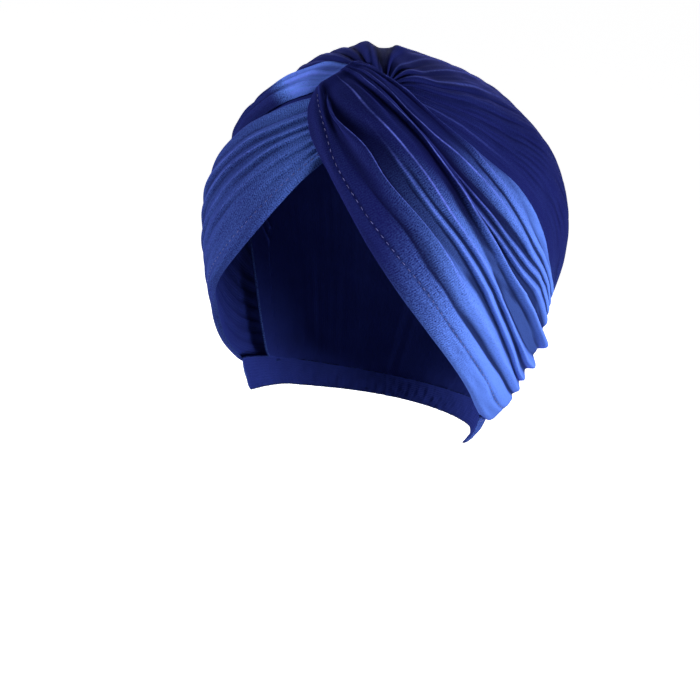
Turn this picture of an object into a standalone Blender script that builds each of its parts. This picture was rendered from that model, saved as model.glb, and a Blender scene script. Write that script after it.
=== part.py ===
"""A pleated twist turban, modelled as the cloth pieces that it is sewn from.

Metres, +Z up. The face looks towards -Y and +X is the wearer's left.
The origin is the middle of the head opening, level with the brows.
Every piece is a closed wall of cloth laid over the form of the head.
"""
from collections import namedtuple

import bpy
import numpy as np

# The head that the turban is shaped on
HALF_WIDTH = 0.0775
FRONT_REACH = 0.1015
BACK_REACH = 0.086
DOME_HEIGHT = 0.0955
NAPE_DROP = 0.0785
WIDEST_BACK = 0.0135
CENTRE = np.array([0, 0, 0.0105])
DOME_ROUNDNESS = 2.15
SIDE_TAPER = 0.305
SIDE_TAPER_CURVE = 1.5
FRONT_TAPER = 0.10
BACK_TAPER = 0.42
# The tapers go on below the nape for this many of its drops
TAPER_LIMIT = 1.6

# Fineness of the sums: halvings that find the head's surface, the angle in
# radians between the points that give its slope, and points along a path
HALVINGS = 40
SLOPE_STEP = 0.01
PATH_STEPS = 200
# The slope's first direction is square to this line, which no fold follows
SLOPE_AXIS = (0.0, 0.13, 1.0)
SHARP_ANGLE = 50
ROUGHNESS = 0.8

# The cloth
WALL = 0.002
EASE = 0.0003
LAYER_GAP = 0.0008
BUTT_GAP = 0.0013
PLEAT_DEPTH = 0.0034
CROWN_PLEAT_DEPTH = 0.0030
FULLNESS = 0.010

# How each piece is pleated: pleats across, and mesh steps across each one
LEFT_PLEATS = 10
RIGHT_PLEATS = 8
CROWN_PLEATS = 16
STRAP_PLEATS = 2
STEPS_PER_PLEAT = 4
# Above 1 a ridge leans to the far side of its pleat; below 1 it is rounder
PLEAT_LEAN = 1.25
PLEAT_ROUNDNESS = 0.8

# Shares of the length or the width of a piece between which its pleats grow
# from nothing, or sink again
LEFT_PLEATS_GROW = (0.02, 0.25)
LEFT_EDGE_RISES = (0.0, 0.12)
RIGHT_PLEATS_GROW = (0.10, 0.25)
RIGHT_TOP_SINKS = (0.80, 0.95)
CROWN_PLEATS_GROW = (0.0, 0.15)
CROWN_PLEATS_SETTLE = (0.8, 1.0)
WRAP_ENDS_SETTLE = (0.80, 1.0)
# How much of its depth a pleat loses where it settles
CROWN_SETTLING = 0.6
WRAP_SETTLING = 0.6

# Mesh rows along each piece, and across the narrow ones
LEFT_ROW_COUNT = 24
RIGHT_ROW_COUNT = 20
CROWN_ROW_COUNT = 13
STRAP_ROW_COUNT = 18
HEM_ROW_COUNT = 24
NAPE_ROW_COUNT = 32
HEM_STEP_COUNT = 3
NAPE_STEP_COUNT = 3

HEM_WIDTH = 0.010
NAPE_HEIGHT = 0.020

# Heights of the cloth above the head, layer by layer
UNDER_LAYER = EASE + WALL
WRAP_LAYER = UNDER_LAYER + LAYER_GAP + WALL
TWIST_LAYER = WRAP_LAYER + LAYER_GAP + WALL
STRAP_LAYER = TWIST_LAYER + LAYER_GAP

# A fold line: its share of the way across the piece, its path as (longitude,
# latitude) in degrees from the front and the brow, and its rise above the
# layer at the start, thirds and end of the path, in shares of FULLNESS.
Fold = namedtuple("Fold", "across path rise")

WRAP_LEFT = (
    Fold(0.00, ((-24, 53), (-17, 44), (-9, 36), (0, 28), (13, 14), (21, 4), (32, -10), (43, -20),
                (57, -33), (71, -43), (82, -49), (96, -53), (112, -53)), (0.45, 0.10, 0.0, 0.0)),
    Fold(0.10, ((-24, 54), (-12, 46), (-3, 38), (5, 28), (16, 16), (29, 2), (36, -5), (49, -18),
                (62, -30), (74, -39), (90, -47), (112, -49)), (0.45, 0.15, 0.0, 0.0)),
    Fold(0.20, ((-24, 55), (-9, 47), (9, 32), (22, 20), (33, 12), (45, -2), (52, -12), (62, -22),
                (80, -35), (94, -42), (112, -45)), (0.45, 0.20, 0.0, 0.0)),
    Fold(0.34, ((-23, 57), (-2, 42), (15, 33), (23, 26), (37, 14), (54, -2), (68, -16),
                (80, -27), (96, -37), (112, -40)), (0.45, 0.25, 0.0, 0.0)),
    Fold(0.50, ((-22, 59), (0, 54), (13, 47), (32, 32), (49, 14), (64, 0), (79, -15),
                (95, -28), (112, -34)), (0.45, 0.25, 0.1, 0.0)),
    Fold(0.68, ((-22, 61), (-12, 62), (3, 58), (24, 48), (46, 30), (66, 11), (84, -8),
                (98, -21), (112, -28)), (0.45, 0.15, 0.2, 0.0)),
    Fold(0.84, ((-21, 63), (-8, 65), (9, 61), (32, 48), (54, 35), (81, 14), (95, -4),
                (104, -15), (112, -21)), (0.45, 0.10, 0.2, 0.1)),
    Fold(1.00, ((-20, 66), (-7, 67), (8, 64), (27, 60), (46, 50), (64, 40), (83, 28), (96, 12),
                (103, 0), (108, -8), (112, -14)), (0.45, 0.10, 0.2, 0.1)),
)

WRAP_RIGHT = (
    Fold(0.00, ((4, 37), (0, 30), (-6, 21), (-11, 12), (-17, 2), (-25, -8), (-37, -19), (-54, -31),
                (-70, -43), (-82, -49), (-96, -53), (-112, -53)), (0.0, 0.0, 0.0, 0.0)),
    Fold(0.22, ((3, 41), (-4, 33), (-12, 23), (-20, 12), (-30, 0), (-42, -12), (-58, -25),
                (-76, -37), (-92, -45), (-112, -48)), (0.0, 0.0, 0.0, 0.0)),
    Fold(0.45, ((1, 45), (-10, 37), (-21, 28), (-30, 18), (-42, 4), (-58, -11), (-76, -24),
                (-94, -36), (-112, -41)), (0.0, 0.1, 0.1, 0.0)),
    Fold(0.70, ((-3, 50), (-17, 45), (-26, 39), (-38, 30), (-52, 16), (-68, 2), (-84, -12),
                (-98, -23), (-112, -31)), (0.0, 0.3, 0.3, 0.0)),
    Fold(0.80, ((-6, 52), (-19, 48), (-32, 42), (-44, 34), (-58, 20), (-74, 6), (-90, -8),
                (-102, -18), (-112, -26)), (0.0, 0.1, 0.1, 0.0)),
    Fold(1.00, ((-8, 60), (-22, 58), (-36, 52), (-52, 41), (-68, 27), (-82, 14), (-96, 0),
                (-106, -9), (-112, -16)), (0.0, 0.0, 0.0, 0.0)),
)

STRAP = (
    Fold(0.00, ((-27, 52), (-30, 48), (-36, 42), (-50, 35), (-66, 24), (-80, 11), (-94, -2),
                (-104, -12), (-112, -19)), (0.1, 0.15, 0.05, -0.05)),
    Fold(1.00, ((-23, 67), (-29, 63), (-37, 55), (-50, 46), (-66, 35), (-82, 22), (-96, 8),
                (-106, -4), (-112, -11)), (0.1, 0.25, 0.1, -0.05)),
)

GATHER = (11, 61)
GATHER_SPREAD = 2.5
# The crown's cloth leaves the gather all round this much of a turn, in degrees
GATHER_TURN = 288
# Shares across the crown between which its pleats grow on each side
CROWN_LOOSE_LEFT = (0.08, 0.18)
CROWN_LOOSE_RIGHT = (0.80, 0.89)
NAPE_LATITUDE = -52
CROWN = (
    Fold(0.00, ((20, 57), (37, 49), (54, 40), (72, 28), (86, 14), (96, -2), (101, -25),
                (104, NAPE_LATITUDE)), (0.0, 0.0, 0.0, 0.0)),
    Fold(0.12, ((24, 60), (38, 57), (67, 46), (89, 30), (106, 10), (115, -12), (119, -32),
                (121, NAPE_LATITUDE)), (0.0, 0.0, 0.0, 0.0)),
    Fold(0.24, ((22, 64), (47, 60), (82, 51), (105, 38), (122, 18), (132, -6), (135, -30),
                (136, NAPE_LATITUDE)), (0.0, 0.0, 0.3, 0.0)),
    Fold(0.37, ((20, 68), (60, 70), (110, 62), (134, 42), (146, 18), (152, -6), (154, -30),
                (155, NAPE_LATITUDE)), (0.0, 0.0, 0.3, 0.0)),
    Fold(0.50, ((11, 70), (10, 80), (176, 84), (178, 60), (180, 34), (180, 6), (180, -24),
                (180, NAPE_LATITUDE)), (0.1, 0.0, 0.3, 0.0)),
    Fold(0.63, ((-2, 68), (-40, 76), (-104, 70), (-134, 48), (-148, 22), (-154, -6), (-156, -30),
                (-156, NAPE_LATITUDE)), (0.3, 0.6, 0.5, 0.0)),
    Fold(0.76, ((-8, 66), (-38, 67), (-76, 60), (-106, 42), (-124, 20), (-133, -6), (-136, -30),
                (-136, NAPE_LATITUDE)), (0.2, 0.7, 0.4, 0.0)),
    Fold(0.88, ((-10, 63), (-32, 62), (-52, 54), (-76, 40), (-98, 20), (-114, -4), (-120, -28),
                (-121, NAPE_LATITUDE)), (0.0, 0.2, 0.1, 0.0)),
    Fold(1.00, ((-12, 59), (-28, 58), (-42, 49), (-60, 36), (-78, 22), (-94, 4), (-102, -22),
                (-104, NAPE_LATITUDE)), (0.0, 0.0, 0.0, 0.0)),
)

# Where the band round the nape begins on each side, in degrees from the face
NAPE_START = 90
# The share of each front edge that its turned-in hem runs along
HEM_LEFT_SPAN = (0.20, 0.83)
HEM_RIGHT_SPAN = (0.04, 0.80)
# Where across a wrap the hem's inner side points to
HEM_TOWARDS = 0.06


def outline_at(height):
    """Half width, front reach and back reach of the head at a height."""
    up = np.clip(height / DOME_HEIGHT, 0, 1)
    down = np.clip(-height / NAPE_DROP, 0, TAPER_LIMIT)
    dome = np.sqrt(np.clip(1 - up ** DOME_ROUNDNESS, 1e-9, 1))
    half = HALF_WIDTH * dome * (1 - SIDE_TAPER * down ** SIDE_TAPER_CURVE)
    front = FRONT_REACH * dome * (1 - FRONT_TAPER * down ** 2)
    back = BACK_REACH * dome * (1 - BACK_TAPER * down ** 2)
    return half, front, back


def is_outside(point):
    """Whether each point lies outside the head."""
    half, front, back = outline_at(point[..., 2])
    y = point[..., 1] - WIDEST_BACK
    reach = np.where(y < 0, front, back)
    beyond = (point[..., 0] / half) ** 2 + (y / reach) ** 2 > 1
    return beyond | (point[..., 2] >= DOME_HEIGHT)


def head_point(way):
    """Where a direction from the middle of the head meets its surface."""
    near = np.zeros(way.shape[:-1])
    far = np.full(way.shape[:-1], 2 * max(FRONT_REACH, BACK_REACH, HALF_WIDTH, DOME_HEIGHT, NAPE_DROP))
    for _ in range(HALVINGS):
        middle = (near + far) / 2
        outside = is_outside(CENTRE + way * middle[..., None])
        far = np.where(outside, middle, far)
        near = np.where(outside, near, middle)
    return CENTRE + way * near[..., None]


def unit(vectors):
    return vectors / np.linalg.norm(vectors, axis=-1, keepdims=True)


def head_normal(way):
    """The head's outward normal along a direction, from two small steps."""
    side = SLOPE_STEP * unit(np.cross(SLOPE_AXIS, way))
    over = np.cross(way, side)
    along = head_point(unit(way + side)) - head_point(unit(way - side))
    across = head_point(unit(way + over)) - head_point(unit(way - over))
    return unit(np.cross(along, across))


def direction(degrees):
    """Unit vectors of (longitude, latitude) pairs; longitude 0 is the face."""
    lon, lat = np.radians(np.asarray(degrees, float)).T
    return np.stack([np.sin(lon) * np.cos(lat), -np.cos(lon) * np.cos(lat), np.sin(lat)], -1)


def through(places, values, wanted):
    """A smooth curve through the values, read at the wanted places."""
    places, values = np.asarray(places, float), np.asarray(values, float)
    chords = np.diff(values, axis=0) / np.diff(places).reshape((-1,) + (1,) * (values.ndim - 1))
    slopes = np.concatenate([chords[:1], (chords[1:] + chords[:-1]) / 2, chords[-1:]])
    index = np.clip(np.searchsorted(places, wanted, side="right") - 1, 0, len(places) - 2)
    span = places[index + 1] - places[index]
    share = (wanted - places[index]) / span
    shape = (-1,) + (1,) * (values.ndim - 1)
    t, span = share.reshape(shape), span.reshape(shape)
    return ((1 + 2 * t) * (1 - t) ** 2 * values[index] + t * (1 - t) ** 2 * span * slopes[index]
            + t * t * (3 - 2 * t) * values[index + 1] + t * t * (t - 1) * span * slopes[index + 1])


def even_path(degrees, shares):
    """Directions at even shares of the length of a path over the head."""
    corners = direction(degrees)
    knots = np.concatenate([[0], np.cumsum(np.linalg.norm(np.diff(corners, axis=0), axis=1))])
    fine = unit(through(knots, corners, np.linspace(0, knots[-1], PATH_STEPS)))
    length = np.concatenate([[0], np.cumsum(np.linalg.norm(np.diff(fine, axis=0), axis=1))])
    places = shares * length[-1]
    return unit(np.stack([np.interp(places, length, fine[:, axis]) for axis in range(3)], -1))


def spread(folds, along, across, start=None):
    """Directions and rises of a piece that is spanned by its fold lines."""
    places = [fold.across for fold in folds]
    paths, rises = [], []
    for fold in folds:
        path = fold.path if start is None else (start(fold.across),) + fold.path
        paths.append(even_path(path, along))
        rises.append(through(np.linspace(0, 1, len(fold.rise)), fold.rise, along))
    ways = unit(through(places, np.array(paths), across))
    return ways.transpose(1, 0, 2), through(places, np.array(rises), across).T


def pleat(turns, lean=PLEAT_LEAN):
    """Soft pleats: 0 in each crease, 1 on each ridge, which leans one way."""
    share = (turns % 1.0) ** lean
    return np.sin(np.pi * share) ** PLEAT_ROUNDNESS


def fade(shares, start, end):
    """0 before start, 1 after end, and smooth between them."""
    t = np.clip((shares - start) / (end - start), 0, 1)
    return t * t * (3 - 2 * t)


def cloth(name, ways, height, colour, wall=WALL):
    """A closed wall of cloth whose outer face is at a height over the head."""
    skin, normal = head_point(ways), head_normal(ways)
    outer = skin + normal * height[..., None]
    inner = skin + normal * (height - wall)[..., None]
    rows, columns = height.shape
    points = np.concatenate([outer.reshape(-1, 3), inner.reshape(-1, 3)])
    below = rows * columns

    def at(row, column):
        return row * columns + column

    faces = []
    for row in range(rows - 1):
        for column in range(columns - 1):
            a, b = at(row, column), at(row, column + 1)
            c, d = at(row + 1, column + 1), at(row + 1, column)
            faces.append((a, b, c, d))
            faces.append((d + below, c + below, b + below, a + below))
    rim = [at(0, column) for column in range(columns)]
    rim += [at(row, columns - 1) for row in range(1, rows)]
    rim += [at(rows - 1, column) for column in range(columns - 2, -1, -1)]
    rim += [at(row, 0) for row in range(rows - 2, 0, -1)]
    for first, second in zip(rim, rim[1:] + rim[:1]):
        faces.append((second, first, first + below, second + below))
    mesh = bpy.data.meshes.new(name)
    mesh.from_pydata(points.tolist(), [], faces)
    middle = outer[rows // 2, columns // 2]
    step = np.cross(outer[rows // 2, columns // 2 + 1] - middle, outer[rows // 2 + 1, columns // 2] - middle)
    if step @ normal[rows // 2, columns // 2] < 0:
        mesh.flip_normals()
    mesh.shade_smooth()
    mesh.set_sharp_from_angle(angle=np.radians(SHARP_ANGLE))
    piece = bpy.data.objects.new(name, mesh)
    bpy.context.scene.collection.objects.link(piece)
    piece.data.materials.append(velvet(name, colour))
    return piece


def velvet(name, colour):
    material = bpy.data.materials.new(name + "_velvet")
    material.use_nodes = True
    shader = material.node_tree.nodes["Principled BSDF"]
    shader.inputs["Base Color"].default_value = (*colour, 1)
    shader.inputs["Roughness"].default_value = ROUGHNESS
    shader.inputs["Metallic"].default_value = 0.0
    return material


ROYAL = (0.018, 0.035, 0.33)
NAVY = (0.010, 0.014, 0.12)


def grid(rows, columns):
    return np.linspace(0, 1, rows), np.linspace(0, 1, columns)


def make_wrap_left():
    """The fan of pleats on the wearer's left, with its rolled edge at the twist."""
    along, across = grid(LEFT_ROW_COUNT, LEFT_PLEATS * STEPS_PER_PLEAT + 1)
    ways, rise = spread(WRAP_LEFT, along, across)
    grown = fade(along, *LEFT_PLEATS_GROW) * (1 - WRAP_SETTLING * fade(along, *WRAP_ENDS_SETTLE))
    pleats = fade(across, *LEFT_EDGE_RISES) * pleat(across * LEFT_PLEATS)
    height = WRAP_LAYER + FULLNESS * rise + PLEAT_DEPTH * np.outer(grown, pleats)
    return cloth("wrap_left", ways, height, ROYAL)


def make_wrap_right():
    """The pleats on the wearer's right, whose start is tucked under the twist."""
    along, across = grid(RIGHT_ROW_COUNT, RIGHT_PLEATS * STEPS_PER_PLEAT + 1)
    ways, rise = spread(WRAP_RIGHT, along, across)
    grown = fade(along, *RIGHT_PLEATS_GROW) * (1 - WRAP_SETTLING * fade(along, *WRAP_ENDS_SETTLE))
    pleats = (1 - fade(across, *RIGHT_TOP_SINKS)) * pleat(across * RIGHT_PLEATS)
    height = WRAP_LAYER + FULLNESS * rise + PLEAT_DEPTH * np.outer(grown, pleats)
    return cloth("wrap_right", ways, height, ROYAL)


def make_twist_strap():
    """The two folds that leave the twist and cross to the wearer's right."""
    along, across = grid(STRAP_ROW_COUNT, STRAP_PLEATS * STEPS_PER_PLEAT + 1)
    ways, rise = spread(STRAP, along, across)
    height = STRAP_LAYER + FULLNESS * rise + PLEAT_DEPTH * pleat(across * STRAP_PLEATS, lean=1)
    return cloth("twist_strap", ways, height, ROYAL)


def make_crown():
    """The cap over the top and back, pleated from the gather to the nape."""
    along, across = grid(CROWN_ROW_COUNT, CROWN_PLEATS * STEPS_PER_PLEAT + 1)

    def start(share):
        turn = np.radians(GATHER_TURN) * (share - 0.5)
        lon = GATHER[0] - GATHER_SPREAD * np.sin(turn) / np.cos(np.radians(GATHER[1]))
        return (lon, GATHER[1] + GATHER_SPREAD * np.cos(turn))

    ways, rise = spread(CROWN, along, across, start)
    loose = fade(across, *CROWN_LOOSE_LEFT) * (1 - fade(across, *CROWN_LOOSE_RIGHT))
    grown = fade(along, *CROWN_PLEATS_GROW) * (1 - CROWN_SETTLING * fade(along, *CROWN_PLEATS_SETTLE))
    pleats = loose * pleat(across * CROWN_PLEATS, lean=1)
    height = UNDER_LAYER + FULLNESS * rise + CROWN_PLEAT_DEPTH * np.outer(grown, pleats)
    return cloth("crown", ways, height, NAVY)


def make_hem(name, folds, span):
    """The turned-in hem that lies under the front edge of a wrap."""
    along = np.linspace(*span, HEM_ROW_COUNT)
    ways, _ = spread(folds, along, np.array([0.0, HEM_TOWARDS]))
    edge, inside = head_point(ways[:, 0]), head_point(ways[:, 1])
    towards = unit(inside - edge)
    strip = [edge + towards * width for width in np.linspace(WALL, WALL + HEM_WIDTH, HEM_STEP_COUNT)]
    ways = unit(np.stack(strip, 1) - CENTRE)
    return cloth(name, ways, np.full(ways.shape[:2], UNDER_LAYER), ROYAL)


def make_nape_band():
    """The hemmed band that draws the turban in round the nape."""
    lon = np.linspace(NAPE_START, 360 - NAPE_START, NAPE_ROW_COUNT)
    top = head_point(direction(np.stack([lon, np.full(NAPE_ROW_COUNT, float(NAPE_LATITUDE))], -1)))
    drops = np.linspace(BUTT_GAP, BUTT_GAP + NAPE_HEIGHT, NAPE_STEP_COUNT)
    ways = unit(np.stack([top - [0, 0, drop] for drop in drops], 1) - CENTRE)
    return cloth("nape_band", ways, np.full(ways.shape[:2], UNDER_LAYER), NAVY)


def build():
    for item in list(bpy.data.objects):
        bpy.data.objects.remove(item)
    make_crown()
    make_wrap_left()
    make_wrap_right()
    make_twist_strap()
    make_hem("hem_left", WRAP_LEFT, HEM_LEFT_SPAN)
    make_hem("hem_right", WRAP_RIGHT, HEM_RIGHT_SPAN)
    make_nape_band()


build()
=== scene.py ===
"""A pleated velvet twist turban: the cloth, its stitching, the studio and the camera.

Metres, +Z up. The face looks towards -Y and +X is the wearer's left. Every
piece is laid over the same head form as the solids. The fold lines are the
solids' own, apart from those of the left wrap, the strap and the gather.
"""
from collections import namedtuple

import bmesh
import bpy
import numpy as np
from mathutils import Matrix, Vector


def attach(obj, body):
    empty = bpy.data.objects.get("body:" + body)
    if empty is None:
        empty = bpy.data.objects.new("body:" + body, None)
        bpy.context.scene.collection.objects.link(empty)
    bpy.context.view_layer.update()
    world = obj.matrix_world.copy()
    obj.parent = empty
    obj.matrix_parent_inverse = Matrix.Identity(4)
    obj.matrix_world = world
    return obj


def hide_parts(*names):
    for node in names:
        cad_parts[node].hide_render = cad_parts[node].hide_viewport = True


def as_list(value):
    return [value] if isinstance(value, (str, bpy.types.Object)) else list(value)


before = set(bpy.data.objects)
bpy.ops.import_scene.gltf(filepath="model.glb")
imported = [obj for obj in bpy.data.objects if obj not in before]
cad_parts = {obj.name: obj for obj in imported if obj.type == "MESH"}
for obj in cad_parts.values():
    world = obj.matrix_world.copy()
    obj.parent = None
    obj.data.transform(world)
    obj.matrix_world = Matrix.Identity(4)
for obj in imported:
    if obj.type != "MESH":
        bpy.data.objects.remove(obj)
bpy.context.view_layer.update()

MM = 0.001

# The head that the turban is shaped on
HALF_WIDTH = 0.0775
FRONT_REACH = 0.1015
BACK_REACH = 0.086
DOME_HEIGHT = 0.0955
NAPE_DROP = 0.0785
WIDEST_BACK = 0.0135
CENTRE = np.array([0, 0, 0.0105])
DOME_ROUNDNESS = 2.15
SIDE_TAPER = 0.305
SIDE_TAPER_CURVE = 1.5
FRONT_TAPER = 0.10
BACK_TAPER = 0.42
TAPER_LIMIT = 1.6
HALVINGS = 36
SLOPE_STEP = 0.006
SLOPE_AXIS = (0.0, 0.13, 1.0)
PATH_STEPS = 400

# The cloth, and how high each layer's outer face lies over the head
VELVET = 0.0013
CAD_WALL = 0.002
EASE = 0.0003
LAYER_GAP = 0.0008
UNDER_LAYER = EASE + CAD_WALL
WRAP_LAYER = UNDER_LAYER + LAYER_GAP + CAD_WALL
TWIST_LAYER = WRAP_LAYER + LAYER_GAP + CAD_WALL
STRAP_LAYER = TWIST_LAYER + LAYER_GAP
FULLNESS = 0.010
BUTT_GAP = 0.0013
HEM_WIDTH = 0.010
NAPE_HEIGHT = 0.020
# How far the rim of a piece sinks below the layer that it lies on
EDGE_SINK = 0.0006

# The length of each piece over the head, by which its ends are rounded
LEFT_LENGTH = 0.235
RIGHT_LENGTH = 0.215
STRAP_LENGTH = 0.18
CROWN_LENGTH = 0.26

# How much of a pleat's depth shows on the inside of the cloth
INSIDE_SHARE = 0.55
# The power that joins two pleats: the higher, the sharper the crease
CREASE = 5
RIM_STEPS = 4
RIDGE_HIGHLIGHT_WIDTH = 0.0045
WIDTH_STEPS = 40
# The lowest that the outer face of a wrap can lie, over the crown's cloth
WRAP_FLOOR = UNDER_LAYER + 0.0002 + VELVET

Fold = namedtuple("Fold", "across path rise", defaults=[(0, 0, 0, 0)])

WRAP_LEFT = (
    Fold(0, ((-24, 53), (-17, 44), (-9, 36), (0, 28), (13, 14), (21, 4), (32, -9), (43, -20.5),
                (57, -33), (71, -43), (82, -49), (96, -53), (112, -53)), (0.45, 0.1, 0, 0)),
    Fold(0.1, ((-24, 54), (-12, 46), (-3, 38), (5, 28), (16, 16), (29, 2), (36, -5), (49, -18),
                (62, -30), (74, -39), (90, -47), (112, -49)), (0.45, 0.15, 0, 0)),
    Fold(0.2, ((-24, 55), (-9, 47), (9, 32), (22, 20), (33, 12), (45, -2), (52, -12), (62, -22),
                (80, -35), (94, -42), (112, -45)), (0.45, 0.2, 0, 0)),
    Fold(0.34, ((-23, 57), (-2, 42), (15, 33), (23, 26), (37, 14), (54, -2), (68, -16),
                (80, -27), (96, -37), (112, -40)), (0.45, 0.25, 0, 0)),
    Fold(0.5, ((-22, 59), (0, 54), (13, 47), (32, 32), (49, 14), (64, 0), (79, -15),
                (95, -28), (112, -34)), (0.45, 0.25, 0.1, 0)),
    Fold(0.68, ((-22, 61), (-12, 62), (3, 58), (24, 48), (46, 30), (66, 11), (84, -8),
                (98, -21), (112, -28)), (0.45, 0.15, 0.2, 0)),
    Fold(0.84, ((-21, 63), (-8, 65), (9, 61), (32, 48), (54, 35), (81, 14), (95, -4),
                (104, -15), (112, -21)), (0.55, 0.15, 0.2, 0.1)),
    Fold(1, ((-20, 68), (-7, 69), (8, 66), (27, 60), (46, 50), (64, 40), (83, 28), (96, 12),
                (103, 0), (108, -8), (112, -14)), (0.6, 0.15, 0.2, 0.1)),
)

WRAP_RIGHT = (
    Fold(0, ((4, 37), (0, 30), (-6, 21), (-11, 12), (-17, 2), (-25, -8), (-37, -19), (-54, -31),
                (-70, -43), (-82, -49), (-96, -53), (-112, -53))),
    Fold(0.22, ((3, 41), (-4, 33), (-12, 23), (-20, 12), (-30, 0), (-42, -12), (-58, -25),
                (-76, -37), (-92, -45), (-112, -48))),
    Fold(0.45, ((1, 45), (-10, 37), (-21, 28), (-30, 18), (-42, 4), (-58, -11), (-76, -24),
                (-94, -36), (-112, -41)), (0, 0.1, 0.1, 0)),
    Fold(0.7, ((-3, 50), (-17, 45), (-26, 39), (-38, 30), (-52, 16), (-68, 2), (-84, -12),
                (-98, -23), (-112, -31)), (0, 0.3, 0.3, 0)),
    Fold(0.8, ((-6, 52), (-19, 48), (-32, 42), (-44, 34), (-58, 20), (-74, 6), (-90, -8),
                (-102, -18), (-112, -26)), (0, 0.1, 0.1, 0)),
    Fold(1, ((-8, 60), (-22, 58), (-36, 52), (-52, 41), (-68, 27), (-82, 14), (-96, 0),
                (-106, -9), (-112, -16))),
)

STRAP = (
    Fold(0, ((-22, 56), (-29, 51), (-39, 46), (-52, 38), (-66, 26), (-80, 12), (-94, -2),
                (-104, -12), (-112, -19)), (0.1, 0.15, 0.05, -0.05)),
    Fold(1, ((-19, 70), (-32, 67), (-43, 61), (-53, 52), (-66, 40), (-81, 25), (-95, 10),
                (-105, -3), (-112, -11)), (0.1, 0.05, 0, -0.05)),
)

GATHER = (12, 64)
GATHER_SPREAD = 1.3
GATHER_TURN = 288
NAPE_LATITUDE = -52
CROWN = (
    Fold(0, ((20, 57), (37, 49), (54, 40), (72, 28), (86, 14), (96, -2), (101, -25),
                (104, NAPE_LATITUDE))),
    Fold(0.12, ((24, 60), (38, 57), (67, 46), (89, 30), (106, 10), (115, -12), (119, -32),
                (121, NAPE_LATITUDE))),
    Fold(0.24, ((22, 64), (47, 60), (82, 51), (105, 38), (122, 18), (132, -6), (135, -30),
                (136, NAPE_LATITUDE)), (0, 0, 0.3, 0)),
    Fold(0.37, ((20, 68), (60, 70), (110, 62), (134, 42), (146, 18), (152, -6), (154, -30),
                (155, NAPE_LATITUDE)), (0, 0, 0.3, 0)),
    Fold(0.5, ((11, 70), (10, 80), (176, 84), (178, 60), (180, 34), (180, 6), (180, -24),
                (180, NAPE_LATITUDE)), (0.1, 0, 0.3, 0)),
    Fold(0.63, ((-2, 68), (-40, 76), (-104, 70), (-134, 48), (-148, 22), (-154, -6), (-156, -30),
                (-156, NAPE_LATITUDE)), (0.3, 0.6, 0.5, 0)),
    Fold(0.76, ((-8, 66), (-38, 67), (-76, 60), (-106, 42), (-124, 20), (-133, -6), (-136, -30),
                (-136, NAPE_LATITUDE)), (0.2, 0.7, 0.4, 0)),
    Fold(0.88, ((-10, 63), (-32, 62), (-52, 54), (-76, 40), (-98, 20), (-114, -4), (-120, -28),
                (-121, NAPE_LATITUDE)), (0, 0.2, 0.1, 0)),
    Fold(1, ((-12, 59), (-28, 58), (-42, 49), (-60, 36), (-78, 22), (-94, 4), (-102, -22),
                (-104, NAPE_LATITUDE))),
)

NAPE_START = 90
HEM_LEFT_SPAN = (0.2, 0.83)
HEM_RIGHT_SPAN = (0.04, 0.8)
HEM_TOWARDS = 0.06

# A pleat, read at even shares of the piece's length: where its ridge lies across
# the piece, its depth in millimetres, how far it falls off towards the hem and
# towards the rear in shares of the piece's width, and, for the whole pleat, how
# far its ridge leans to the rear for each unit of height and how strong the painted
# highlight along its ridge is.
Pleat = namedtuple("Pleat", "ridge depth hem_side rear_side lean line")

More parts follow.
